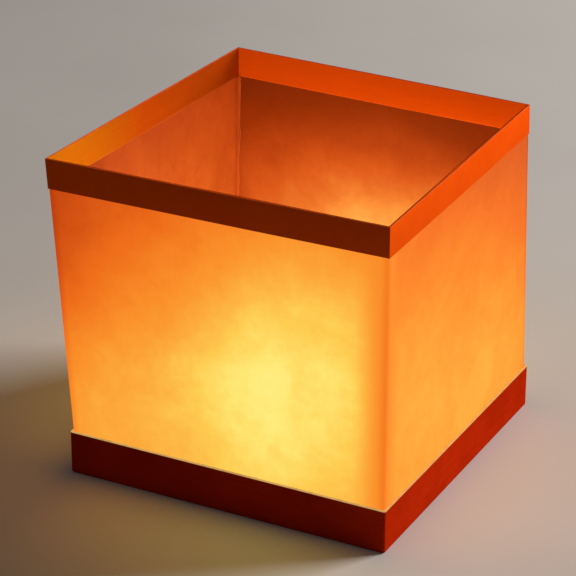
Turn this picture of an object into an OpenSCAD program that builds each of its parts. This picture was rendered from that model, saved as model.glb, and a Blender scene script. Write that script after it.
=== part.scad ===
// Floating pool lantern: an open paper shade stands in a foam-filled float tray,
// round a battery flame lamp that lifts out of its cup.

/* [Lantern] */
// Outside width of the float tray, on each side
side = 150; // [140:1:180]
// Height of the whole lantern
height = 146; // [130:1:170]

/* [Float tray] */
// Height of the tray's walls
tray_h = 20; // [18:0.5:26]
// Thickness of the tray's walls
tray_wall = 1; // [0.8:0.1:1.2]
// Thickness of the tray's floor
tray_floor = 1.2; // [1.2:0.1:1.6]
// Height of the deck's upper face above the tray's underside
deck_z = 12; // [10:0.5:13]
// Thickness of the deck plate
deck_t = 1.5; // [1.5:0.1:2]

/* [Shade] */
// Thickness of the shade paper
paper_t = 0.25; // [0.2:0.05:0.4]
// Height of the rim strips
rim_h = 13.4; // [10:0.1:18]
// Thickness of each rim strip
strip_t = 0.3; // [0.3:0.1:0.8]
// Diameter of the corner rods
rod_d = 2; // [1.6:0.1:2.4]

/* [Flame lamp] */
// Diameter of the lamp's candle body
candle_d = 37; // [37:0.5:39]
// Height of the lamp's candle body
candle_h = 16; // [16:0.5:18]
// Height of the flame above the wax pool
flame_h = 20; // [16:1:24]
// Widest diameter of the flame
flame_d = 10; // [10:0.5:11]
// Diameter of the coin cell
cell_d = 20; // [19:1:20]
// Thickness of the coin cell
cell_h = 3.2; // [2.5:0.1:3.2]

/* [Hidden] */
WALLS = ["front", "right", "back", "left"];
CORNERS = ["front_left", "front_right", "back_right", "back_left"];

$fn = 96;
fit = 0.15;           // clearance of parts that drop into each other
slip = 0.05;          // clearance of parts that touch or slide
over = 1;             // how far a cutter runs past the face it opens

// Shade
paper_half = side / 2 - tray_wall - fit;
paper_in = paper_half - paper_t;
rim_half = paper_half + strip_t;
paper_drop = 0.4;     // the strips stand this much above the paper's edge
rod_r = rod_d / 2;
rod_c = paper_in - slip - rod_r;
rod_top = height - rim_h - slip;  // the rods end under the inner strips
rod_relief = 0.5;     // round over at the ends of a rod

// Float
float_half = side / 2 - tray_wall - 0.2;
foam_top = deck_z - deck_t;
clip_half = paper_in - 0.7;
clip_w = 6.8;
clip_h = 7;
clip_lead = 1;        // height of the sloping lead at the top of a clip
clip_c = clip_half - clip_w + 2.9;
screw_r = 1.1;
screw_head_r = 2.3;
screw_lift = 0.1;     // the heads sit this much above the tray's underside
screw_end = deck_z + 4.5;
head_h = screw_head_r - screw_r;

// Candle cup
candle_r = candle_d / 2;
cup_r = candle_r + 0.4;
cup_wall = 1.2;
cup_out = cup_r + cup_wall;
cup_floor = 0.8;
cup_h = 7;
ear_r = 3.4;
ear_c = cup_out + 2.2;
ear_angles = [45, 135, 225, 315];
cup_screw_r = 0.9;
cup_screw_deep = 2;   // how far the cup's screws reach below the deck
cup_head_r = 1.9;
cup_head_h = 1.2;
thumb_w = 14;

// Candle body
candle_z = deck_z + cup_floor;
shell_t = 1;
shell_in = candle_r - shell_t;
shell_edge = 1.2;     // radius of the round edge at the top
pool_r = 14.5;        // radius of the wax pool
pool_deep = 2;
collar_r = 4.2;       // radius of the hole for the flame
base_t = 2.4;
pool_z = candle_z + candle_h - pool_deep;

// Battery bay
cell_x = 3.5;
cell_r = cell_d / 2;
bay_r = cell_r + 0.3;
ring_t = 0.9;
door_w = 22;
door_keel_w = cell_d + 0.4;
door_low = 0.2;       // the door sits this much above the candle's underside
door_flange_z = 0.8;
door_top = 1.4;
door_in = cell_x - bay_r - 1.2;
door_out = candle_r - 0.3;
cell_z = candle_z + door_top + slip;
grip_n = 3;
grip_pitch = 1.4;

// Switch
switch_x = -12.6;
switch_travel = 2.5;
stem_w = 2.2;
stem_l = 2.4;
flange_w = 3.6;
flange_l = 4.4;
flange_t = 0.8;
knob_low = 0.3;

// Lamp
flame_wall = 0.8;
led_r = 2.5;
led_flange_r = 2.9;
led_z = pool_z - 1;
led_body = 5;
lens_foot = 1.4;
lens_z = pool_z - shell_t - slip;
board_r = 6;
board_t = 1;
board_z = lens_z - lens_foot - slip - board_t;
lead_r = 0.25;
lead_gap = 1.27;
contact_t = 0.3;
contact_w = 4;
side_reach = 6.4;     // how far the side blade bends in under the board

// Turns a part made for the front wall, or the front left corner, to wall or corner k
module at_wall(k) {
    rotate(90 * k) children();
}

module corner_points(c) {
    for (k = [0:3])
        at_wall(k) translate([-c, -c, 0]) children();
}

module square_plate(half, z, t) {
    translate([-half, -half, z]) cube([2 * half, 2 * half, t]);
}

// Base -----------------------------------------------------------------------

module base_tray() {
    color("#a5321a") difference() {
        square_plate(side / 2, 0, tray_h);
        square_plate(side / 2 - tray_wall, tray_floor, tray_h);
        corner_points(clip_c) {
            translate([0, 0, -over]) cylinder(r = screw_r + 0.2, h = tray_floor + 2 * over);
            screw_sink(0.15);
        }
    }
}

// Countersink cone of a base screw, grown by gap
module screw_sink(gap) {
    translate([0, 0, screw_lift])
        cylinder(r1 = screw_head_r + gap, r2 = screw_r + gap, h = head_h);
    translate([0, 0, -over])
        cylinder(r = screw_head_r + gap, h = over + screw_lift);
}

module float_block() {
    color("#f2f0ea") difference() {
        square_plate(float_half, tray_floor, foam_top - tray_floor);
        corner_points(clip_c)
            translate([0, 0, tray_floor - over])
                cylinder(r = screw_r + 0.6, h = deck_z);
        cup_ears(foam_top - cup_screw_deep - 0.5)
            cylinder(r = cup_screw_r + 0.2, h = deck_z);
    }
}

module deck_plate() {
    color("#e9e2d2") difference() {
        square_plate(float_half, foam_top, deck_t);
        corner_points(clip_c)
            translate([0, 0, foam_top - over]) cylinder(r = screw_r + 0.3, h = deck_t + 2 * over);
        cup_ears(foam_top - over)
            cylinder(r = cup_screw_r + slip, h = deck_t + 2 * over);
    }
}

module base_screws() {
    color("#c9ccd0") corner_points(clip_c) difference() {
        union() {
            translate([0, 0, screw_lift]) cylinder(r1 = screw_head_r, r2 = screw_r, h = head_h);
            translate([0, 0, screw_lift]) cylinder(r = screw_r, h = screw_end - screw_lift);
        }
        for (a = [0, 90])
            rotate(a) translate([-1.3, -0.3, -over]) cube([2.6, 0.6, over + 0.8]);
    }
}

// Corner clip: a block with a groove that holds the rod into the tray's corner
module corner_clip(k) {
    color("#ded6c4") at_wall(k) difference() {
        union() {
            translate([-clip_half, -clip_half, deck_z])
                cube([clip_w, clip_w, clip_h - clip_lead]);
            translate([-clip_half, -clip_half, deck_z + clip_h - clip_lead])
                cube([clip_w - clip_lead, clip_w - clip_lead, clip_lead]);
        }
        translate([-rod_c, -rod_c, deck_z - over])
            cylinder(r = rod_r + 0.08, h = clip_h + 2 * over);
        translate([-clip_c, -clip_c, deck_z - over])
            cylinder(r = screw_r + slip, h = over + screw_end - deck_z + 0.3);
    }
}

module cup_ears(z) {
    for (a = ear_angles)
        rotate(a) translate([ear_c, 0, z]) children();
}

// Cup with a gap on the right for the battery door, and a thumb gap in front and behind
module candle_cup() {
    notch_w = door_w + 1.4;
    color("#e4dcc9") difference() {
        union() {
            translate([0, 0, deck_z]) cylinder(r = cup_out, h = cup_h);
            cup_ears(deck_z) cylinder(r = ear_r, h = cup_wall);
        }
        translate([0, 0, candle_z]) cylinder(r = cup_r, h = cup_h);
        translate([0, -notch_w / 2, candle_z]) cube([cup_out + ear_r, notch_w, cup_h]);
        translate([-thumb_w / 2, -cup_out - over, candle_z]) cube([thumb_w, 2 * (cup_out + over), cup_h]);
        cup_ears(deck_z - over) cylinder(r = cup_screw_r + slip, h = cup_wall + 2 * over);
    }
}

module cup_screws() {
    shank = cup_wall + deck_t + cup_screw_deep;
    color("#c9ccd0") cup_ears(deck_z + cup_wall) difference() {
        union() {
            cylinder(r = cup_head_r, h = cup_head_h);
            translate([0, 0, -shank]) cylinder(r = cup_screw_r - slip, h = shank);
        }
        for (a = [0, 90])
            rotate(a) translate([-1.1, -0.25, cup_head_h - 0.6]) cube([2.2, 0.5, over]);
    }
}

// Shade ----------------------------------------------------------------------

module paper_sleeve() {
    color("#f7a840") translate([0, 0, deck_z])
        linear_extrude(height - paper_drop - deck_z) difference() {
            square(2 * paper_half, center = true);
            square(2 * paper_in, center = true);
        }
}

// Outer strip: each one laps the end of the next, like a pinwheel
module rim_strip(k) {
    color("#e0591c") at_wall(k)
        translate([-rim_half, -rim_half, height - rim_h])
            cube([2 * rim_half - strip_t, strip_t, rim_h]);
}

// Inner strip: butts the next one inside the paper, like the outer strips
module rim_lining(k) {
    color("#cf4c14") at_wall(k)
        translate([-paper_in, -paper_in, height - rim_h])
            cube([2 * paper_in - strip_t, strip_t, rim_h]);
}

module corner_rod(k) {
    rod_len = rod_top - deck_z;
    color("#c4844c") at_wall(k)
        translate([-rod_c, -rod_c, deck_z]) {
            cylinder(r1 = rod_r - rod_relief, r2 = rod_r, h = rod_relief);
            translate([0, 0, rod_relief]) cylinder(r = rod_r, h = rod_len - rod_relief);
        }
}

// Flame lamp -----------------------------------------------------------------

module candle_shell() {
    top = candle_h;
    dish = top - pool_deep;
    color("#f7ecd2") translate([0, 0, candle_z]) difference() {
        rotate_extrude() difference() {
            union() {
                square([candle_r - shell_edge, top]);
                square([candle_r, top - shell_edge]);
                translate([candle_r - shell_edge, top - shell_edge]) circle(r = shell_edge);
            }
            // hollow below the wax pool
            square([shell_in, dish - shell_t]);
            // the pool, with a sloping bank
            polygon([
                [0, dish], [pool_r - pool_deep, dish], [pool_r, top],
                [pool_r, top + over], [0, top + over]
            ]);
            square([collar_r, top]);
        }
        // way out for the battery door
        translate([0, -door_w / 2 - fit, -over])
            cube([candle_d, door_w + 2 * fit, over + door_top + 0.2]);
    }
}

module door_profile(gap) {
    keel = door_keel_w / 2 + gap;
    flange = door_w / 2 + gap;
    polygon([
        [-keel, door_low - gap], [keel, door_low - gap], [keel, door_flange_z - gap],
        [flange, door_flange_z - gap], [flange, door_top + gap],
        [-flange, door_top + gap], [-flange, door_flange_z - gap], [-keel, door_flange_z - gap]
    ]);
}

// Runs the door's profile along X from x0 to x1
module door_bar(x0, x1, gap) {
    translate([x0, 0, candle_z]) rotate([90, 0, 90])
        linear_extrude(x1 - x0) door_profile(gap);
}

module candle_base() {
    color("#e8e0cc") difference() {
        union() {
            translate([0, 0, candle_z]) cylinder(r = shell_in - slip, h = base_t);
            translate([cell_x, 0, candle_z]) cylinder(r = bay_r + ring_t, h = door_top + cell_h);
        }
        // battery bay
        translate([cell_x, 0, candle_z + door_top]) cylinder(r = bay_r, h = cell_h + over);
        door_bar(door_in - fit, candle_d, 0.1);
        translate([door_in - fit, -door_keel_w / 2 - 0.1, candle_z - over])
            cube([candle_d, door_keel_w + 0.2, door_low + over]);
        // switch: finger recess below, slot through
        translate([switch_x - stem_w / 2 - 0.6, -stem_l / 2 - switch_travel / 2 - 0.8, candle_z - over])
            cube([stem_w + 1.2, stem_l + switch_travel + 1.6, over + 1.2]);
        translate([switch_x - stem_w / 2 - fit, -stem_l / 2 - switch_travel / 2 - fit, candle_z - over])
            cube([stem_w + 2 * fit, stem_l + switch_travel + 2 * fit, base_t + 2 * over]);
        // side contact's gap in the ring
        translate([cell_x - contact_w / 2, bay_r - over, candle_z + door_top + 1.2])
            cube([contact_w, ring_t + 2 * over, cell_h]);
    }
}

module battery_door() {
    color("#d8cfb8") difference() {
        intersection() {
            door_bar(door_in, door_out + over, 0);
            translate([0, 0, candle_z]) cylinder(r = door_out, h = base_t);
        }
        for (i = [0:grip_n - 1])
            translate([door_out - 3 - i * grip_pitch, -6, candle_z - over])
                cube([0.6, 12, over + door_low + 0.25]);
    }
}

module switch_slider() {
    rest_y = -switch_travel / 2;
    color("#4a4744") translate([switch_x, rest_y, candle_z]) {
        translate([-stem_w / 2, -stem_l / 2, knob_low]) cube([stem_w, stem_l, base_t - knob_low + slip]);
        translate([-flange_w / 2, -flange_l / 2, base_t + slip]) cube([flange_w, flange_l, flange_t]);
    }
}

module coin_cell() {
    color("#c7c9cc") translate([cell_x, 0, cell_z]) {
        cylinder(r = cell_r - 0.6, h = cell_h - slip);
        cylinder(r = cell_r, h = cell_h - 0.5);
    }
}

// Blade that presses on the cell from above
module contact_top() {
    z = cell_z + cell_h + slip;
    blade_l = 14;
    color("#d6b56b") translate([cell_x - blade_l / 2, -contact_w / 2, z]) {
        cube([blade_l, contact_w, contact_t]);
        cube([contact_t, contact_w, board_z - z - slip]);
    }
}

// Blade that presses on the rim of the cell, through the ring's gap
module contact_side() {
    y = bay_r + 0.1;
    z = candle_z + door_top + 1.4;
    color("#d6b56b") translate([cell_x - contact_w / 2 + 0.3, y, z]) {
        cube([contact_w - 0.6, contact_t, board_z - z - slip]);
        translate([0, contact_t - side_reach, board_z - z - slip - contact_t])
            cube([contact_w - 0.6, side_reach, contact_t]);
    }
}

module lamp_board() {
    color("#3f7a4d") translate([0, 0, board_z]) difference() {
        cylinder(r = board_r, h = board_t);
        for (s = [-1, 1])
            translate([s * lead_gap, 0, -over])
                cylinder(r = lead_r + slip, h = board_t + 2 * over, $fn = 24);
    }
}

module led() {
    color("#fff1c4") translate([0, 0, led_z]) rotate_extrude() {
        square([led_flange_r, 1]);
        square([led_r, led_body]);
        intersection() {
            translate([0, led_body]) circle(r = led_r);
            translate([0, led_body]) square(led_r);
        }
    }
}

module led_leads() {
    tail = 0.8;
    color("#c9ccd0") for (s = [-1, 1])
        translate([s * lead_gap, 0, board_z - tail])
            cylinder(r = lead_r, h = led_z - board_z + tail, $fn = 24);
}

// Radius of the flame at height t, from 0 at its foot to 1 at its tip
function flame_r(t) = collar_r - 0.25 + (flame_d / 2 - collar_r + 0.25) * sin(min(1, t / 0.3) * 90)
    - (t > 0.3 ? (flame_d / 2) * pow((t - 0.3) / 0.7, 1.9) : 0);

module flame_outline(grow, steps) {
    polygon(concat(
        [[0, -grow]],
        [for (i = [0:steps]) [max(0, flame_r(i / steps) + grow), flame_h * i / steps]],
        [[0, flame_h + grow]]
    ));
}

module flame_lens() {
    color("#ffd890") translate([0, 0, lens_z]) {
        rotate_extrude() difference() {
            union() {
                translate([0, shell_t]) intersection() {
                    flame_outline(0, 24);
                    square([flame_d, flame_h + over]);
                }
                square([collar_r - 0.25, shell_t + 0.5]);
                translate([0, -lens_foot]) square([board_r - 0.5, lens_foot]);
            }
            translate([0, -lens_foot - over]) square([led_flange_r + 0.4, lens_foot + over + 2]);
            translate([0, shell_t]) intersection() {
                flame_outline(-flame_wall, 24);
                square([flame_d, flame_h - 3]);
            }
        }
    }
}

base_tray();
float_block();
deck_plate();
base_screws();
candle_cup();
cup_screws();
for (k = [0:3]) {
    corner_clip(k);
    rim_strip(k);
    rim_lining(k);
    corner_rod(k);
}
paper_sleeve();
candle_shell();
candle_base();
flame_lens();
led();
led_leads();
lamp_board();
coin_cell();
contact_top();
contact_side();
switch_slider();
battery_door();
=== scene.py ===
"""Looks of the floating lantern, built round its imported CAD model."""
import math

import bmesh
import bpy
from mathutils import Matrix, Vector, noise


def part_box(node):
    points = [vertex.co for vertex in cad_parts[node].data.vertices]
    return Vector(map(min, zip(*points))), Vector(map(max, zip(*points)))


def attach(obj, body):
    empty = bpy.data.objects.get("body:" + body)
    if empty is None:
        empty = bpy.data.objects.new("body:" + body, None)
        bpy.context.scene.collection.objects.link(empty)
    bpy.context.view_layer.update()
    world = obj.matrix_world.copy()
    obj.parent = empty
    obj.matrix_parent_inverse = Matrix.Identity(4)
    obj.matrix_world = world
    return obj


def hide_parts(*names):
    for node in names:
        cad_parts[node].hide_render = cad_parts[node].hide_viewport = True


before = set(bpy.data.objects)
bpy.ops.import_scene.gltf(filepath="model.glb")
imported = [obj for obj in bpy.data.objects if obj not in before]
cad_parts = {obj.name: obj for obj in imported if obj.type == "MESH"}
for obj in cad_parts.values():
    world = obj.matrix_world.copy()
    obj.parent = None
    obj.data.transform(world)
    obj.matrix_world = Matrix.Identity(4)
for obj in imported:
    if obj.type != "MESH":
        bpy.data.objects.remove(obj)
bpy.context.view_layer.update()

MM = 0.001
WALLS = ["front", "right", "back", "left"]
CORNERS = ["front_left", "front_right", "back_right", "back_left"]

# Places and sizes read from the imported CAD parts
tray_lo, tray_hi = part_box("base_tray")
paper_lo, paper_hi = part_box("paper_sleeve")
strip_lo, strip_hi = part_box("rim_strip_front")
lining_lo, lining_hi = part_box("rim_lining_front")
rod_lo, rod_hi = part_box("corner_rod_front_left")
shell_lo, shell_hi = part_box("candle_shell")
lens_lo, lens_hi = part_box("flame_lens")
door_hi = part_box("battery_door")[1]
cup_lo, cup_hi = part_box("candle_cup")
screws_lo, screws_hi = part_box("base_screws")

SIDE = tray_hi.x - tray_lo.x
PAPER_HALF = paper_hi.x
ROD_C = (rod_lo.x + rod_hi.x) / 2
ROD_R = (rod_hi.x - rod_lo.x) / 2
FLAME_Z = lens_lo.z + 0.62 * (lens_hi.z - lens_lo.z)

# Paper
PAPER_T = 0.11 * MM
CREASE_R = 0.3 * MM
LAP = 10 * MM                 # the wrap's glued overlap
LAP_START = 4 * MM            # the wrap starts this far from the back right corner

# How far each corner of the paper shade leans out of square at its top, along X and Y
LEAN = {
    "front_left": (-7.2 * MM, -2.7 * MM), "front_right": (0, 0),
    "back_right": (-2.7 * MM, -1.5 * MM), "back_left": (0, 3.3 * MM),
}


# Camera ---------------------------------------------------------------------

def make_camera():
    """Looks down on the near corner, with the front wall on the left."""
    azimuth, elevation, roll = math.radians(27.17), math.radians(25.14), math.radians(0.22)
    distance = 7.80 * SIDE
    aim = Vector((0, 0, 0.45 * SIDE))
    aside, above = -0.0494 * SIDE, 0.0338 * SIDE
    back = Vector((
        math.sin(azimuth) * math.cos(elevation),
        -math.cos(azimuth) * math.cos(elevation),
        math.sin(elevation),
    ))
    right = Vector((math.cos(azimuth), math.sin(azimuth), 0))
    up = back.cross(right)
    right, up = (
        right * math.cos(roll) + up * math.sin(roll),
        up * math.cos(roll) - right * math.sin(roll),
    )
    data = bpy.data.cameras.new("camera")
    data.sensor_width = 36
    data.lens = 168.7
    data.clip_start, data.clip_end = 0.01, 50
    camera = bpy.data.objects.new("camera", data)
    bpy.context.collection.objects.link(camera)
    place = aim + back * distance + right * aside + up * above
    camera.matrix_world = Matrix.Translation(place) @ Matrix((right, up, back)).transposed().to_4x4()
    bpy.context.scene.camera = camera


# Node helpers ---------------------------------------------------------------

class NodeMaterial:
    """A node material, written as calls that return output sockets."""

    def __init__(self, name):
        self.material = bpy.data.materials.new(name)
        self.material.use_nodes = True
        self.tree = self.material.node_tree
        self.tree.nodes.clear()
        self.out = self.tree.nodes.new("ShaderNodeOutputMaterial")

    def node(self, kind, inputs=None, **settings):
        """A new node. inputs holds a value or an output socket for each of its inputs."""
        made = self.tree.nodes.new(kind)
        for key, value in settings.items():
            setattr(made, key, value)
        for key, value in (inputs or {}).items():
            if isinstance(value, bpy.types.NodeSocket):
                self.tree.links.new(value, made.inputs[key])
            else:
                made.inputs[key].default_value = value
        return made

    def maths(self, operation, a, b=0.0, c=0.0):
        inputs = {0: a, 1: b, 2: c}
        return self.node("ShaderNodeMath", inputs, operation=operation).outputs[0]

    def place(self, scale=(1, 1, 1)):
        """Object coordinates, stretched by scale."""
        coords = self.node("ShaderNodeTexCoord").outputs["Object"]
        return self.node("ShaderNodeMapping", {"Vector": coords, "Scale": scale}).outputs[0]

    def axes(self, square=False):
        """X, Y and Z of each place; square gives them as they were before the shade's lean."""
        vector = self.place()
        if square:
            vector = self.node("ShaderNodeAttribute", attribute_name="square").outputs["Vector"]
        return self.node("ShaderNodeSeparateXYZ", {0: vector}).outputs

    def noise(self, scale, detail=4.0, rough=0.55, stretch=(1, 1, 1), distortion=0.0):
        return self.node("ShaderNodeTexNoise", {
            "Vector": self.place(stretch), "Scale": scale, "Detail": detail,
            "Roughness": rough, "Distortion": distortion,
        }).outputs[0]

    def ramp(self, value, stops, smooth=False):
        """Colour or grey by value: stops is [(position, grey or (r, g, b)), ...]."""
        made = self.node("ShaderNodeValToRGB", {0: value})
        band = made.color_ramp
        if smooth:
            band.interpolation = "EASE"
        while len(band.elements) < len(stops):
            band.elements.new(0.5)
        for element, (position, colour) in zip(band.elements, stops):
            element.position = position
            rgb = (colour,) * 3 if isinstance(colour, (int, float)) else colour
            element.color = (*rgb, 1)
        return made.outputs[0]

    def range(self, value, low, high, to_low=0.0, to_high=1.0):
        return self.node("ShaderNodeMapRange", {
            "Value": value, "From Min": low, "From Max": high, "To Min": to_low, "To Max": to_high,
        }, interpolation_type="SMOOTHSTEP").outputs[0]

    def mix(self, share, a, b):
        """Mixes two colours."""
        made = self.node("ShaderNodeMix", {"Factor": share}, data_type="RGBA")
        for socket, value in zip((made.inputs[6], made.inputs[7]), (a, b)):
            if isinstance(value, bpy.types.NodeSocket):
                self.tree.links.new(value, socket)
            else:
                socket.default_value = (*value, 1)
        return made.outputs[2]

    def bump(self, height, depth):
        """Normal of a surface whose height socket spans depth metres."""
        return self.node("ShaderNodeBump", {"Height": height, "Distance": depth, "Strength": 1.0}).outputs[0]

    def surface(self, colour, roughness, **more):
        """Finishes the material with one Principled shader; more holds its other inputs."""
        inputs = {"Base Color": colour, "Roughness": roughness}
        for key, value in more.items():
            inputs[key.replace("_", " ").title().replace("Ior", "IOR")] = value
        for key in ("Base Color", "Emission Color"):
            if isinstance(inputs.get(key), tuple):
                inputs[key] = (*inputs[key], 1)
        shader = self.node("ShaderNodeBsdfPrincipled", inputs)
        self.tree.links.new(shader.outputs[0], self.out.inputs["Surface"])
        return self.material


# Materials ------------------------------------------------------------------

def lamp_on_strip(m, x, y):
    """The lamp's light on the inner strips: golden at the left wall's front end, and fading from there."""
    left = m.maths("LESS_THAN", m.maths("ADD", x, m.maths("ABSOLUTE", y)), 0.0)
    fading = m.ramp(m.range(y, lining_lo.y, lining_hi.x), [
        (0.0, (0.32, 0.125, 0.002)), (0.45, (0.12, 0.016, 0.0005)), (0.9, (0.0, 0.0, 0.0)),
    ])
    return m.mix(left, (0.35, 0.028, 0.0005), fading)


def copper(name, dark, light, edges=(), highlight_colour=(0.90, 0.20, 0.055), lip=None, core=None):
    """Satin copper-coloured sheet, faintly brushed along its length. Next to the heights in edges it has a
    painted highlight, paler and in patches, and at the height lip the lamp's light is painted on as a glow.
    A strip with a core is an inner one: the lamp's light is painted on it all over, but its cut face, above
    the height core, is painted dark as shade on the two near walls."""
    m = NodeMaterial(name)
    x, y, z = m.axes(square=bool(core))
    streak = m.noise(60, 5, 0.7, (0.5, 0.5, 50))
    smudge = m.noise(110, 4, 0.6, distortion=0.6)
    # Noise that breaks the painted edge highlight and the painted glow on the lip into patches
    light_breakup = m.range(m.noise(300, 3), 0.3, 0.6, 0.45, 1.0)
    colour = m.ramp(m.noise(40, 3, 0.6), [(0.3, dark), (0.7, light)])
    colour = m.mix(m.range(streak, 0.4, 0.8, 0.0, 0.12), colour, (0.92, 0.15, 0.012))
    rough = m.maths("ADD", m.range(smudge, 0.3, 0.7, 0.38, 0.50), m.range(streak, 0.3, 0.7, 0.0, 0.06))
    # Painted highlight: next to each height in edges the sheet is painted paler, as if catching the light
    for height in edges:
        off = m.maths("ABSOLUTE", m.maths("SUBTRACT", z, height))
        edge_highlight = m.maths("MULTIPLY", m.range(off, 0.15 * MM, 0.55 * MM, 0.5, 0.0), light_breakup)
        colour = m.mix(edge_highlight, colour, highlight_colour)
    more = {}
    # Painted light: the lamp's glow on the lip, as emission over a darker base colour
    if lip:
        lit = m.range(z, lip - 0.65 * MM, lip - 0.42 * MM)
        colour = m.mix(lit, colour, (0.22, 0.05, 0.012))
        share = m.maths("MULTIPLY", lit, m.range(light_breakup, 0.4, 1.0, 0.8, 1.0))
        glow = m.mix(share, (0, 0, 0), (0.95, 0.56, 0.16))
        more = {"emission_color": glow, "emission_strength": 0.65}
    # Painted shade and light: the cut face is painted dark as shade on the two near walls, and the lamp's
    # light is painted on the strip as emission
    if core:
        near = m.maths("GREATER_THAN", m.maths("SUBTRACT", x, y), 0.0)
        cut = m.maths("MULTIPLY", m.maths("GREATER_THAN", z, core), near)
        colour = m.mix(cut, colour, (0.10, 0.008, 0.001))
        more = {"emission_color": m.mix(cut, lamp_on_strip(m, x, y), (0, 0, 0)), "emission_strength": 1.0}
    return m.surface(colour, rough, metallic=0.10, specular_tint=(1.0, 0.36, 0.10, 1),
                     specular_ior_level=0.0, normal=m.bump(streak, 0.012 * MM), **more)


# How the lamp shines through each wall, as seen from outside and from inside, in shares of the side. The
# brightest spot is at aside along the wall and at height, and has the strength peak. The glow reaches that
# far round it, is narrowed along the wall, and leans as it rises. The wall's foot glows too.
GLOW_OUTSIDE = {
    "front": dict(aside=0.20, height=0.47, peak=0.74, reach=0.47, narrow=1.1, lean=0.25, foot=0.23),
    "right": dict(aside=-0.44, height=0.60, peak=0.26, reach=0.58, narrow=0.43, lean=-1.15, foot=0.23),
    "back": dict(aside=0.04, height=0.42, peak=0.60, reach=0.50, narrow=0.9, lean=0.10, foot=0.20),
    "left": dict(aside=0.06, height=0.42, peak=0.54, reach=0.52, narrow=0.9, lean=-0.10, foot=0.20),
}
GLOW_INSIDE = {
    "front": dict(aside=-0.05, height=0.38, peak=0.42, reach=0.32, narrow=0.8, lean=0.0, foot=0.04),
    "right": dict(aside=0.02, height=0.38, peak=0.36, reach=0.36, narrow=0.8, lean=0.0, foot=0.04),
    "back": dict(aside=0.06, height=0.44, peak=0.54, reach=0.22, narrow=0.50, lean=0.0, foot=0.055),
    "left": dict(aside=0.00, height=0.40, peak=0.160, reach=0.64, narrow=0.8, lean=0.0, foot=0.07),
}
CORNER_GLOW = 0.285           # how both walls glow beside the front right rod, seen from outside


def wall_glow(m, table, falloff, clouds, near_corner=None):
    """How brightly each place of the shade glows: strongest opposite the flame, falling off to the edges,
    with the paper's clouds, of the given strength, and dimmer at the corner rods and on the paper's lap.
    near_corner is the glow beside the front right rod, where it differs."""
    x, y, z = m.axes(square=True)
    across_x, across_y = m.maths("ABSOLUTE", x), m.maths("ABSOLUTE", y)
    masks = {
        "front": m.maths("LESS_THAN", m.maths("ADD", y, across_x), 0.0),
        "right": m.maths("GREATER_THAN", m.maths("SUBTRACT", x, across_y), 0.0),
        "left": m.maths("LESS_THAN", m.maths("ADD", x, across_y), 0.0),
    }

    def by_wall(key):
        value = table["back"][key]
        for wall, mask in masks.items():
            value = m.maths("MULTIPLY_ADD", mask, table[wall][key] - table["back"][key], value)
        return value

    aside, height, peak, reach, narrow, lean, foot = (by_wall(key) for key in table["back"])
    sideways = m.maths("ADD", masks["right"], masks["left"])
    along = m.maths("MULTIPLY_ADD", sideways, m.maths("SUBTRACT", y, x), x)
    upward = m.maths("SUBTRACT", m.maths("DIVIDE", z, SIDE), height)
    along = m.maths("SUBTRACT", m.maths("DIVIDE", along, SIDE), m.maths("MULTIPLY_ADD", lean, upward, aside))
    along = m.maths("MULTIPLY", along, narrow)
    off_spot = m.maths("MULTIPLY_ADD", upward, upward, m.maths("MULTIPLY", along, along))
    far = m.maths("ADD", m.maths("DIVIDE", off_spot, m.maths("MULTIPLY", reach, reach)), 1.0)
    glow = m.maths("DIVIDE", peak, m.maths("POWER", far, falloff))
    low = m.range(z, tray_hi.z, paper_hi.z, 1.0, 0.0)
    glow = m.maths("MULTIPLY_ADD", m.maths("MULTIPLY", low, low), foot, glow)
    for scale, change in ((24, clouds), (75, 0.5 * clouds), (230, 0.3 * clouds)):
        cloud = m.noise(scale, 4, 0.6, distortion=0.5)
        glow = m.maths("MULTIPLY", glow, m.range(cloud, 0.25, 0.75, 1 - change, 1 + change))
    from_corner = m.maths("SUBTRACT", PAPER_HALF, m.maths("MINIMUM", across_x, across_y))
    if near_corner:
        this_corner = m.maths("MULTIPLY", m.maths("GREATER_THAN", x, 0.0), m.maths("LESS_THAN", y, 0.0))
        end = m.maths("MULTIPLY_ADD", masks["front"], 4 * MM, 12 * MM)
        in_shade = m.maths("MULTIPLY", this_corner, m.range(from_corner, 1 * MM, end, 1.0, 0.0))
        glow = m.maths("MULTIPLY_ADD", in_shade, m.maths("SUBTRACT", near_corner, glow), glow)
    glow = m.maths("MULTIPLY", glow, m.range(from_corner, 3 * MM, 20 * MM, 0.93, 1.0))
    lap_end = PAPER_HALF - LAP_START - LAP
    on_lap = m.maths("MULTIPLY", m.maths("GREATER_THAN", y, across_x), m.maths("GREATER_THAN", x, lap_end))
    on_lap = m.maths("MULTIPLY", on_lap, m.maths("LESS_THAN", x, PAPER_HALF - LAP_START))
    glow = m.maths("MULTIPLY_ADD", m.maths("MULTIPLY", on_lap, glow), -0.22, glow)
    return m.maths("MULTIPLY", glow, m.range(from_corner, 0.0, 4 * MM, 0.74, 1.0))


def paper_outside():
    m = NodeMaterial("paper_outside")
    light = m.ramp(wall_glow(m, GLOW_OUTSIDE, falloff=1.5, clouds=0.11, near_corner=CORNER_GLOW), [
        (0.04, (0.45, 0.04, 0.003)), (0.08, (0.64, 0.08, 0.006)), (0.15, (0.85, 0.15, 0.010)),
        (0.27, (0.95, 0.27, 0.022)), (0.41, (0.97, 0.41, 0.045)), (0.61, (0.98, 0.61, 0.085)),
        (0.81, (0.98, 0.79, 0.17)), (1.0, (0.99, 0.88, 0.26)),
    ])
    tissue = m.noise(900, 5, 0.7)
    crumple = m.noise(60, 3, 0.5)
    normal = m.bump(m.maths("MULTIPLY_ADD", tissue, 0.12, crumple), 0.25 * MM)
    return m.surface((0.08, 0.022, 0.003), 0.8, specular_ior_level=0.05, emission_color=light,
                     emission_strength=1.0, normal=normal)


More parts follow.
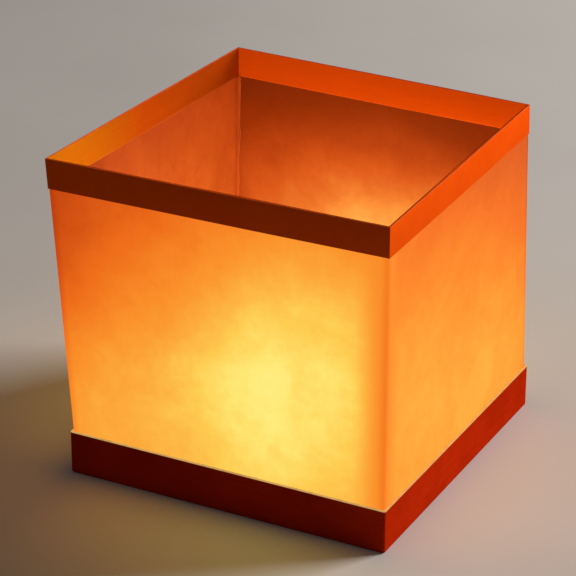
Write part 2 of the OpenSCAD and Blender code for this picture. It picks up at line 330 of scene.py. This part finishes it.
def paper_inside():
    m = NodeMaterial("paper_inside")
    light = m.ramp(wall_glow(m, GLOW_INSIDE, falloff=2.2, clouds=0.22), [
        (0.0, (0.10, 0.006, 0.0003)), (0.02, (0.26, 0.018, 0.001)), (0.04, (0.40, 0.036, 0.003)),
        (0.07, (0.56, 0.062, 0.006)), (0.11, (0.70, 0.10, 0.011)), (0.28, (0.92, 0.27, 0.04)),
        (0.60, (0.98, 0.55, 0.10)),
    ])
    normal = m.bump(m.noise(900, 5, 0.7), 0.04 * MM)
    return m.surface((0.07, 0.015, 0.002), 0.85, specular_ior_level=0.05, emission_color=light,
                     emission_strength=0.85, normal=normal)


def bamboo():
    """Split bamboo with long grain, warm with the lamp's light, which is weaker at the top."""
    m = NodeMaterial("bamboo")
    grain = m.noise(500, 5, 0.65, (1, 1, 0.03), 0.3)
    colour = m.ramp(grain, [(0.3, (0.16, 0.023, 0.004)), (0.7, (0.25, 0.040, 0.008))])
    height = m.range(m.axes()["Z"], tray_hi.z, rod_hi.z)
    light = m.mix(height, (0.44, 0.066, 0.010), (0.24, 0.028, 0.004))
    light = m.mix(m.range(grain, 0.3, 0.7, 0.3, 0.0), light, (0, 0, 0))
    return m.surface(colour, m.range(grain, 0.3, 0.7, 0.6, 0.42), specular_ior_level=0.03,
                     emission_color=light, emission_strength=1.0, normal=m.bump(grain, 0.05 * MM))


def moulded(name, dark, light, roughness, glow=0.0):
    """Matt or satin moulded plastic, with a fine eggshell texture and slight mottling."""
    m = NodeMaterial(name)
    colour = m.ramp(m.noise(90, 4, 0.6), [(0.3, dark), (0.7, light)])
    grain = m.noise(2200, 3, 0.6)
    rough = m.range(m.noise(300, 3), 0.3, 0.7, roughness - 0.06, roughness + 0.06)
    more = {"emission_color": light, "emission_strength": glow} if glow else {}
    return m.surface(colour, rough, normal=m.bump(grain, 0.02 * MM), **more)


def foam():
    m = NodeMaterial("bead_foam")
    beads = m.node("ShaderNodeTexVoronoi", {"Vector": m.place(), "Scale": 420.0}, feature="DISTANCE_TO_EDGE")
    edge = m.range(beads.outputs["Distance"], 0.0, 0.12)
    colour = m.mix(edge, (0.62, 0.61, 0.58), (0.88, 0.87, 0.84))
    return m.surface(colour, 0.85, normal=m.bump(edge, 0.25 * MM))


def wax():
    """Ivory candle plastic with a glossy amber pool, warmer and glowing next to the flame."""
    m = NodeMaterial("ivory_wax")
    x, y, z = m.axes()
    radius = m.maths("SQRT", m.maths("MULTIPLY_ADD", x, x, m.maths("MULTIPLY", y, y)))
    pool = m.range(z, shell_hi.z - 1.9 * MM, shell_hi.z - 0.9 * MM, 1.0, 0.0)
    pool = m.maths("MULTIPLY", pool, m.range(radius, 14 * MM, 15 * MM, 1.0, 0.0))
    cloud = m.noise(160, 4, 0.6)
    dry = m.ramp(cloud, [(0.3, (0.74, 0.60, 0.38)), (0.7, (0.86, 0.74, 0.52))])
    wet = m.ramp(cloud, [(0.3, (0.56, 0.27, 0.085)), (0.7, (0.68, 0.37, 0.13))])
    rough = m.maths("MULTIPLY_ADD", pool, -0.26, m.range(cloud, 0.3, 0.7, 0.36, 0.5))
    near = m.maths("MULTIPLY", pool, m.range(radius, lens_hi.x * 0.8, 13 * MM, 1.0, 0.0))
    light = m.mix(near, (0.03, 0.010, 0.002), (0.62, 0.25, 0.05))
    return m.surface(m.mix(pool, dry, wet), rough, emission_color=light, emission_strength=0.5,
                     normal=m.bump(m.noise(240, 3), 0.08 * MM))


def flame_plastic():
    m = NodeMaterial("flame_plastic")
    z = m.axes()["Z"]
    height = m.range(z, lens_lo.z, lens_hi.z)
    light = m.ramp(height, [
        (0.0, (0.80, 0.20, 0.02)), (0.3, (1.0, 0.60, 0.16)),
        (0.6, (1.0, 0.80, 0.38)), (1.0, (0.96, 0.36, 0.06)),
    ])
    frost = m.noise(900, 4, 0.6)
    return m.surface((0.9, 0.5, 0.15), m.range(frost, 0.3, 0.7, 0.35, 0.5), emission_color=light,
                     emission_strength=1.0, normal=m.bump(frost, 0.03 * MM))


def metal(name, dark, light, roughness):
    m = NodeMaterial(name)
    grain = m.noise(700, 4, 0.7, (1, 1, 0.2))
    colour = m.ramp(grain, [(0.3, dark), (0.7, light)])
    rough = m.range(m.noise(250, 3), 0.3, 0.7, roughness - 0.07, roughness + 0.07)
    return m.surface(colour, rough, metallic=1.0, normal=m.bump(grain, 0.01 * MM))


def laminate():
    m = NodeMaterial("green_laminate")
    weave = m.maths("MULTIPLY", m.noise(900, 2, 0.5, (1, 0.1, 1)), m.noise(900, 2, 0.5, (0.1, 1, 1)))
    colour = m.ramp(weave, [(0.15, (0.03, 0.11, 0.045)), (0.4, (0.06, 0.20, 0.08))])
    return m.surface(colour, 0.35, normal=m.bump(weave, 0.02 * MM))


# Mesh helpers ---------------------------------------------------------------

def new_piece(name, mesh, body, materials, nodes):
    """Puts a finished mesh in the scene as a piece that stands for CAD nodes."""
    piece = bpy.data.objects.new(name, mesh)
    bpy.context.collection.objects.link(piece)
    for material in materials:
        mesh.materials.append(material)
    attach(piece, body)
    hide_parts(*nodes)
    return piece


def from_bmesh(name, bm, smooth_under=35, flat_over=60):
    """Mesh from a bmesh, shaded smooth except over edges sharper than the angle and on big flat faces, of
    more than flat_over square millimetres."""
    bmesh.ops.recalc_face_normals(bm, faces=bm.faces)
    for face in bm.faces:
        face.smooth = face.calc_area() < flat_over * MM * MM
    for edge in bm.edges:
        if len(edge.link_faces) == 2 and edge.calc_face_angle(0) > math.radians(smooth_under):
            edge.smooth = False
    mesh = bpy.data.meshes.new(name)
    bm.to_mesh(mesh)
    bm.free()
    return mesh


def cut_out(name, mesh, cutter):
    """The mesh less a cutter bmesh."""
    bmesh.ops.recalc_face_normals(cutter, faces=cutter.faces)
    blade = bpy.data.meshes.new("cutter")
    cutter.to_mesh(blade)
    cutter.free()
    tool = bpy.data.objects.new("cutter", blade)
    holder = bpy.data.objects.new("holder", mesh)
    for item in (tool, holder):
        bpy.context.collection.objects.link(item)
    modifier = holder.modifiers.new("cut", "BOOLEAN")
    modifier.object = tool
    modifier.operation = "DIFFERENCE"
    modifier.solver = "EXACT"
    bpy.context.view_layer.update()
    graph = bpy.context.evaluated_depsgraph_get()
    made = bpy.data.meshes.new_from_object(holder.evaluated_get(graph))
    for item in (tool, holder):
        bpy.data.objects.remove(item)
    bm = bmesh.new()
    bm.from_mesh(made)
    return from_bmesh(name, bm)


def bevelled(node, width, above):
    """A copy of a CAD node's mesh, with its sharp edges above a height rounded."""
    bm = bmesh.new()
    bm.from_mesh(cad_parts[node].data)
    bmesh.ops.remove_doubles(bm, verts=bm.verts, dist=1e-6)
    bmesh.ops.dissolve_limit(bm, angle_limit=math.radians(1), verts=bm.verts, edges=bm.edges)
    sharp = []
    for edge in bm.edges:
        low = min(vert.co.z for vert in edge.verts)
        if low > above and edge.calc_face_angle(0) > math.radians(40):
            sharp.append(edge)
    bmesh.ops.bevel(bm, geom=sharp, offset=width, segments=3, profile=0.5, affect="EDGES", clamp_overlap=True)
    return from_bmesh(node + "_soft", bm, flat_over=12)


def turned(bm, wall):
    """Turns a bmesh made for the front wall, or the front left corner, to wall or corner number wall."""
    bmesh.ops.rotate(bm, verts=bm.verts, cent=(0, 0, 0), matrix=Matrix.Rotation(math.pi / 2 * wall, 3, "Z"))


def out_of_square(bm):
    """Leans a finished bmesh of the shade, and keeps each point's square place for its materials."""
    square = bm.verts.layers.float_vector.new("square")
    for vert in bm.verts:
        vert[square] = vert.co
        rise = max(0, (vert.co.z - tray_hi.z) / (strip_hi.z - tray_hi.z))
        east, north = (0.5 + 0.5 * vert.co[k] / PAPER_HALF for k in (0, 1))
        for corner, (aside, ahead) in LEAN.items():
            share = east if corner.endswith("right") else 1 - east
            share *= north if corner.startswith("back") else 1 - north
            vert.co.x += rise * share * aside
            vert.co.y += rise * share * ahead


def grid_tube(rings):
    """A bmesh tube from rings of points, each ring closed, with flat caps at both ends."""
    bm = bmesh.new()
    made = [[bm.verts.new(p) for p in ring] for ring in rings]
    count = len(made[0])
    for low, high in zip(made, made[1:]):
        for i in range(count):
            j = (i + 1) % count
            bm.faces.new((low[i], low[j], high[j], high[i]))
    bm.faces.new(made[0][::-1])
    bm.faces.new(made[-1])
    return bm


def revolved(profile, segments, shape=lambda radius, angle, z: (radius, z)):
    """A bmesh turned round Z from (radius, z) points. Points on the axis close it; shape bends each point."""
    bm = bmesh.new()
    rings = []
    for radius, z in profile:
        if radius < 1e-7:
            rings.append([bm.verts.new((0, 0, z))])
            continue
        ring = []
        for i in range(segments):
            angle = 2 * math.pi * i / segments
            r, height = shape(radius, angle, z)
            ring.append(bm.verts.new((r * math.cos(angle), r * math.sin(angle), height)))
        rings.append(ring)
    for low, high in zip(rings, rings[1:]):
        for i in range(segments):
            j = (i + 1) % segments
            corners = [low[i % len(low)], low[j % len(low)], high[j % len(high)], high[i % len(high)]]
            corners = list(dict.fromkeys(corners))
            if len(corners) > 2:
                bm.faces.new(corners)
    return bm


def arc(centre, radius, start, end, steps):
    """Points on an arc in the (radius, z) plane; angles in degrees."""
    points = []
    for i in range(steps + 1):
        angle = math.radians(start + (end - start) * i / steps)
        points.append((centre[0] + radius * math.cos(angle), centre[1] + radius * math.sin(angle)))
    return points


def square_ring(half, corner, z, per_corner, per_side):
    """Points round a square with rounded corners, at height z."""
    points = []
    middle = half - corner
    for k in range(4):
        turn = Matrix.Rotation(math.pi / 2 * k, 3, "Z")
        for i in range(per_corner + 1):
            angle = math.radians(-90 + 90 * i / per_corner)
            x, y = middle + corner * math.cos(angle), -middle + corner * math.sin(angle)
            points.append(turn @ Vector((x, y, z)))
        for i in range(1, per_side):
            points.append(turn @ Vector((half, -middle + 2 * middle * i / per_side, z)))
    return points


# Shade ----------------------------------------------------------------------

def ripple(x, y, z):
    """How far the paper bellies out: nothing at the rods, under the strips or in the tray."""
    inset = PAPER_HALF - min(abs(x), abs(y))
    still = min(1, max(0, (inset - 3 * MM) / (22 * MM)))
    still *= min(1, max(0, (z - tray_hi.z) / (22 * MM)))
    still *= min(1, max(0, (strip_lo.z - z) / (18 * MM)))
    still = still * still * (3 - 2 * still)
    broad = noise.noise(Vector((x, y, z)) * 22)
    fine = noise.noise(Vector((x, y, z * 0.6)) * 70)
    return still * (0.55 * broad + 0.16 * fine) * MM


def paper_path(steps_per_wall):
    """Points round the shade from the wrap's start to its lap's end: (place, outward normal, inset)."""
    half, corner = PAPER_HALF - 0.01 * MM, CREASE_R
    middle = half - corner
    walk = []
    start = middle - LAP_START
    for i in range(steps_per_wall + 1):
        walk.append((Vector((start - (start + middle) * i / steps_per_wall, half)), Vector((0, 1)), 0.0))
    for k in (3, 4, 5):
        turn = Matrix.Rotation(math.pi / 2 * k, 2)
        for i in range(1, 5):
            angle = math.radians(-90 + 90 * (i - 4) / 4)
            out = Vector((math.cos(angle), math.sin(angle)))
            walk.append((turn @ (Vector((-middle, -middle)) + out * corner), turn @ out, 0.0))
        for i in range(1, steps_per_wall + 1):
            along = -middle + 2 * middle * i / steps_per_wall
            walk.append((turn @ Vector((along, -half)), turn @ Vector((0, -1)), 0.0))
    for i in range(1, 5):
        angle = math.radians(90 * i / 4)
        out = Vector((math.cos(angle), math.sin(angle)))
        walk.append((Vector((middle, middle)) + out * corner, out, 0.0))
    tuck = PAPER_T + 0.02 * MM
    lap = ((1.6 * MM, 0), (2.4 * MM, 0.5), (3.2 * MM, 1), (LAP_START + LAP / 2, 1), (LAP_START + LAP, 1))
    for along, share in lap:
        walk.append((Vector((middle - along, half)), Vector((0, 1)), tuck * share))
    return walk


def make_paper():
    """One wrap of paper, creased at the corners and glued along a lap: two skins and their cut edges."""
    columns = paper_path(44)
    rows = 56
    bm = bmesh.new()
    skins = []
    for depth in (0.0, PAPER_T):
        skin = []
        for point, out, inset in columns:
            column = []
            for j in range(rows + 1):
                z = paper_lo.z + (paper_hi.z - paper_lo.z) * j / rows
                push = ripple(point.x, point.y, z) - depth - inset
                column.append(bm.verts.new((point.x + out.x * push, point.y + out.y * push, z)))
            skin.append(column)
        skins.append(skin)
    outer, inner = skins
    last = len(columns) - 1
    for i in range(last):
        for j in range(rows):
            bm.faces.new((outer[i][j], outer[i + 1][j], outer[i + 1][j + 1], outer[i][j + 1]))
            face = bm.faces.new((inner[i][j], inner[i][j + 1], inner[i + 1][j + 1], inner[i + 1][j]))
            face.material_index = 1
        for j in (0, rows):
            edge = bm.faces.new((outer[i][j], inner[i][j], inner[i + 1][j], outer[i + 1][j]))
            edge.material_index = 1
    for i in (0, last):
        for j in range(rows):
            bm.faces.new((outer[i][j], outer[i][j + 1], inner[i][j + 1], inner[i][j]))
    out_of_square(bm)
    mesh = from_bmesh("paper_wrap", bm, 50)
    materials = [paper_outside(), paper_inside()]
    piece = new_piece("paper_wrap", mesh, "shade", materials, ["paper_sleeve"])


def strip(wall, low, high, bow, name, node, material):
    """A thin strip with rounded edges, a slight bow and an uneven upper edge. low and high are its box on
    the front wall, and wall is the number of its own wall. bow is how far its middle stands off."""
    steps, edge = 60, 0.06 * MM
    thick = high.y - low.y
    section = []
    for cy, cz, start in ((high.y - edge, low.z + edge, -90), (high.y - edge, high.z - edge, 0),
                          (low.y + edge, high.z - edge, 90), (low.y + edge, low.z + edge, 180)):
        section += arc((cy, cz), edge, start, start + 90, 3)
    rings = []
    for i in range(steps + 1):
        x = low.x + (high.x - low.x) * i / steps
        held = math.sin(math.pi * i / steps)
        wave = noise.noise(Vector((x * 18, wall * 5.0, bow * 1000)))
        push = bow * held * (0.7 + 0.6 * wave)
        lift = 0.10 * MM * held * wave
        rings.append([Vector((x, y + push, z + lift * (z > low.z + thick))) for y, z in section])
    bm = grid_tube(rings)
    turned(bm, wall)
    out_of_square(bm)
    new_piece(name, from_bmesh(name, bm, 50), "shade", [material], [node])


def make_rim(outer, inner):
    for k, wall in enumerate(WALLS):
        strip(k, strip_lo, strip_hi, -0.25 * MM, f"rim_band_{wall}", f"rim_strip_{wall}", outer)
        strip(k, lining_lo, lining_hi, 0.25 * MM, f"rim_inner_band_{wall}", f"rim_lining_{wall}", inner)


def make_rods(material):
    """Split bamboo: not quite round, with a low knot or two on each."""
    rings_up, around = 90, 20
    length = rod_hi.z - rod_lo.z
    for k, corner in enumerate(CORNERS):
        knots = [rod_lo.z + share * length for share in (0.31 + 0.07 * k, 0.78 - 0.05 * k)]
        rings = []
        for i in range(rings_up + 1):
            z = rod_lo.z + length * i / rings_up
            swell = sum(math.exp(-((z - knot) / (0.9 * MM)) ** 2) for knot in knots)
            ring = []
            for a in range(around):
                angle = 2 * math.pi * a / around
                rough = noise.noise(Vector((math.cos(angle) * 2, math.sin(angle) * 2, z * 60 + k * 7)))
                radius = ROD_R * (0.93 + 0.045 * rough + 0.05 * swell)
                ring.append(Vector((ROD_C + radius * math.cos(angle), ROD_C + radius * math.sin(angle), z)))
            rings.append(ring)
        bm = grid_tube(rings)
        turned(bm, k)
        out_of_square(bm)
        name = f"bamboo_rod_{corner}"
        new_piece(name, from_bmesh(name, bm, 60), "shade", [material], [f"corner_rod_{corner}"])


# Base -----------------------------------------------------------------------

SCREW_HEAD_R = 2.3 * MM
SCREW_R = 1.1 * MM
SCREW_GAP = 0.15 * MM
TRAY_FLOOR = 1.2 * MM
TRAY_GAP = 0.15 * MM          # between the paper and the tray's wall


def screw_sink():
    """Cutter for the countersunk hole of the base screw in the front left corner."""
    middle = screws_hi.x - SCREW_HEAD_R
    head, shank, low = SCREW_HEAD_R + SCREW_GAP, SCREW_R + SCREW_GAP, screws_lo.z
    below, above = -MM, 3 * MM
    cone_top = low + head - shank
    profile = [(0, below), (head, below), (head, low), (shank, cone_top), (shank, above), (0, above)]
    bm = revolved(profile, 32)
    bmesh.ops.translate(bm, verts=bm.verts, vec=(-middle, -middle, 0))
    return bm


def make_tray(material):
    """Folded tray with rounded folds, a rolled lip, and sunk holes for its screws."""
    wall = tray_hi.x - PAPER_HALF - TRAY_GAP
    half, top = tray_hi.x, tray_hi.z
    lip = wall / 2
    fold = 0.8 * MM
    profile = arc((half - fold, fold), fold, -90, 0, 5)
    profile += arc((half - lip, top - lip), lip, 0, 180, 8)
    profile += [(half - wall, TRAY_FLOOR)]
    rings = []
    for reach, z in profile:
        corner = max(0.15 * MM, 0.9 * MM - (half - reach))
        rings.append(square_ring(reach, corner, z, 5, 40))
    mesh = from_bmesh("tray_shell", grid_tube(rings), 50)
    for k in range(4):
        sink = screw_sink()
        turned(sink, k)
        mesh = cut_out("tray_shell", mesh, sink)
    new_piece("tray_shell", mesh, "float_base", [material], ["base_tray"])


def soften(names, width, body, material, above=0.0):
    """Shows CAD nodes as copies whose sharp edges above a height are rounded."""
    for name in names:
        new_piece(f"{name}_soft", bevelled(name, width, above), body, [material], [name])


# Flame lamp -----------------------------------------------------------------

def make_candle(material):
    """Candle body with a round shoulder, a melted pool and a way out for the battery door."""
    radius, low, high = shell_hi.x, shell_lo.z, shell_hi.z
    wall, pool, shoulder = 1.0 * MM, 2.0 * MM, 1.4 * MM
    hole = 4.2 * MM
    profile = [(radius - wall, low), (radius - wall, high - pool - wall), (hole, high - pool - wall)]
    profile += [(hole, high - pool + 0.1 * MM), (6 * MM, high - pool)]
    profile += [(9 * MM, high - pool), (11.6 * MM, high - pool + 0.1 * MM)]
    profile += [(12.9 * MM, high - pool + 0.6 * MM), (13.8 * MM, high - 0.7 * MM)]
    profile += [(14.8 * MM, high - 0.15 * MM)]
    profile += arc((radius - shoulder, high - shoulder), shoulder, 90, 0, 7)
    profile += [(radius, low + 0.3 * MM), (radius - 0.3 * MM, low)]

    def melted(r, angle, z):
        bank = math.exp(-((r - 13.2 * MM) / (2.4 * MM)) ** 2) * (z > high - 3 * MM)
        sway = noise.noise(Vector((math.cos(angle) * 1.6, math.sin(angle) * 1.6, 0.3)))
        return r + bank * sway * 0.9 * MM, z + bank * sway * 0.25 * MM

    bm = revolved(profile + [profile[0]], 96, melted)
    bmesh.ops.remove_doubles(bm, verts=bm.verts, dist=1e-6)
    way_out = bmesh.new()
    bmesh.ops.create_cube(way_out, size=1)
    size = Vector((radius + 2 * MM, 2 * (door_hi.y + 0.15 * MM), door_hi.z + 0.2 * MM - low + MM))
    bmesh.ops.scale(way_out, verts=way_out.verts, vec=size)
    bmesh.ops.translate(way_out, verts=way_out.verts, vec=(size.x / 2, 0, low - MM + size.z / 2))
    mesh = cut_out("candle_body", from_bmesh("candle_body", bm, 40), way_out)
    new_piece("candle_body", mesh, "flame_lamp", [material], ["candle_shell"])


def make_flame(material):
    """Frosted flame: a leaning, slightly twisted teardrop on a round collar."""
    low, high = lens_lo.z, lens_hi.z
    foot_r = lens_hi.x
    collar_r, widest = 3.9 * MM, 4.9 * MM
    collar_z = shell_hi.z - 2 * MM
    profile = [(0, low), (foot_r, low), (foot_r, low + 1.3 * MM)]
    profile += [(collar_r, low + 1.4 * MM), (collar_r, collar_z)]
    steps = 40
    for i in range(1, steps + 1):
        t = i / steps
        swell = collar_r + (widest - collar_r) * math.sin(min(1, t / 0.3) * math.pi / 2)
        taper = widest * (max(0, t - 0.3) / 0.7) ** 1.7
        profile.append((max(0, swell - taper), collar_z + (high - collar_z) * t))
    profile[-1] = (0, high)

    def licked(r, angle, z):
        t = max(0, (z - collar_z) / (high - collar_z))
        fold = 1 + 0.07 * t * math.cos(3 * angle + 5 * t)
        return r * fold, z

    bm = revolved(profile, 48, licked)
    tip_shift, tip_way = 0.9 * MM, 0.8
    for vert in bm.verts:
        t = max(0, (vert.co.z - collar_z) / (high - collar_z))
        vert.co.x += tip_shift * t ** 2 * math.cos(tip_way)
        vert.co.y += tip_shift * t ** 2 * math.sin(tip_way)
    mesh = from_bmesh("flame_tip", bm, 50)
    piece = new_piece("flame_tip", mesh, "flame_lamp", [material], ["flame_lens"])
    piece.visible_shadow = False


def make_lamp_light():
    """The flame's light on what is above and beside it; it moves with the lamp."""
    data = bpy.data.lights.new("flame_light", "SPOT")
    data.energy = 0.85
    data.color = (1.0, 0.82, 0.30)
    data.shadow_soft_size = 4.5 * MM
    data.spot_size = math.radians(176)
    data.spot_blend = 0.3
    light = bpy.data.objects.new("flame_light", data)
    bpy.context.collection.objects.link(light)
    light.location = (0, 0, FLAME_Z)
    light.rotation_euler = (math.pi, 0, 0)
    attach(light, "flame_lamp")
    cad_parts["led"].visible_shadow = False


def finish_cad_nodes():
    """Materials of the CAD nodes that show as they are."""
    ivory = moulded("ivory_plastic", (0.66, 0.56, 0.40), (0.78, 0.69, 0.52), 0.45)
    steel = metal("screw_steel", (0.42, 0.42, 0.43), (0.60, 0.60, 0.61), 0.34)
    brass = metal("spring_brass", (0.56, 0.38, 0.14), (0.74, 0.54, 0.24), 0.3)
    finishes = {
        "float_block": foam(),
        "base_screws": steel,
        "cup_screws": steel,
        "candle_base": ivory,
        "battery_door": ivory,
        "switch_slider": moulded("dark_plastic", (0.03, 0.028, 0.026), (0.06, 0.056, 0.052), 0.5),
        "coin_cell": metal("cell_steel", (0.60, 0.60, 0.61), (0.74, 0.74, 0.75), 0.2),
        "contact_top": brass,
        "contact_side": brass,
        "led_leads": metal("tinned_wire", (0.52, 0.52, 0.53), (0.66, 0.66, 0.67), 0.28),
        "lamp_board": laminate(),
        "led": moulded("lit_epoxy", (0.95, 0.70, 0.32), (1.0, 0.86, 0.52), 0.25, 3.0),
    }
    for name, material in finishes.items():
        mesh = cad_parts[name].data
        mesh.materials.clear()
        mesh.materials.append(material)


# Studio ---------------------------------------------------------------------

def area_light(name, place, size, power, colour):
    """A square light aimed at the lantern, and not seen itself."""
    aim = Vector((0, 0, 0.05))
    data = bpy.data.lights.new(name, "AREA")
    data.size = size
    data.energy = power
    data.color = colour
    light = bpy.data.objects.new(name, data)
    bpy.context.collection.objects.link(light)
    light.location = place
    light.visible_camera = False
    light.rotation_mode = "QUATERNION"
    light.rotation_quaternion = (aim - Vector(place)).to_track_quat("-Z", "Y")


def make_studio():
    m = NodeMaterial("pale_floor")
    tone = m.ramp(m.noise(6, 3, 0.5), [(0.3, (0.68, 0.665, 0.65)), (0.7, (0.74, 0.725, 0.71))])
    material = m.surface(tone, 0.7)
    bpy.ops.mesh.primitive_plane_add(size=12, location=(0, 0, -0.05 * MM))
    floor = bpy.context.object
    floor.name = "floor"
    floor.data.materials.append(material)
    world = bpy.data.worlds.new("studio")
    world.use_nodes = True
    world.node_tree.nodes["Background"].inputs["Color"].default_value = (1.0, 0.93, 0.90, 1)
    world.node_tree.nodes["Background"].inputs["Strength"].default_value = 0.05
    bpy.context.scene.world = world
    area_light("key", place=(1.40, 1.50, 0.84), size=1.0, power=60.0, colour=(1.0, 0.94, 0.87))
    area_light("fill", place=(-0.6, -0.9, 2.0), size=1.5, power=1.0, colour=(1.0, 0.88, 0.84))
    bpy.context.scene.view_settings.view_transform = "Standard"


# Everything -----------------------------------------------------------------

make_camera()
make_studio()

outer_copper = copper("copper_strip", (0.76, 0.074, 0.002), (0.83, 0.088, 0.004), (strip_hi.z,))
# The inner strips are the same copper painted darker as shade, with the lamp's light painted on as emission
inner_copper_lit_and_shaded = copper("copper_strip_inside", (0.24, 0.031, 0.001), (0.28, 0.037, 0.0015),
                      (lining_lo.z, lining_hi.z), (0.46, 0.10, 0.026), core=lining_hi.z - 0.05 * MM)
make_paper()
make_rim(outer_copper, inner_copper_lit_and_shaded)
make_rods(bamboo())

# The tray's lip has the lamp's light painted on as a glow
make_tray(copper("copper_tray", (0.36, 0.013, 0.001), (0.46, 0.020, 0.002), lip=tray_hi.z))
cream = moulded("cream_plastic", (0.55, 0.47, 0.34), (0.65, 0.57, 0.43), 0.5)
deck_sheet = moulded("deck_sheet", (0.70, 0.64, 0.52), (0.84, 0.78, 0.66), 0.6)
clips = [f"corner_clip_{corner}" for corner in CORNERS]
soften(["deck_plate"], 0.3 * MM, "float_base", deck_sheet)
soften(["candle_cup"], 0.35 * MM, "float_base", cream, above=(cup_lo.z + cup_hi.z) / 2)
soften(clips, 0.35 * MM, "float_base", cream)

make_candle(wax())
make_flame(flame_plastic())
make_lamp_light()
finish_cad_nodes()
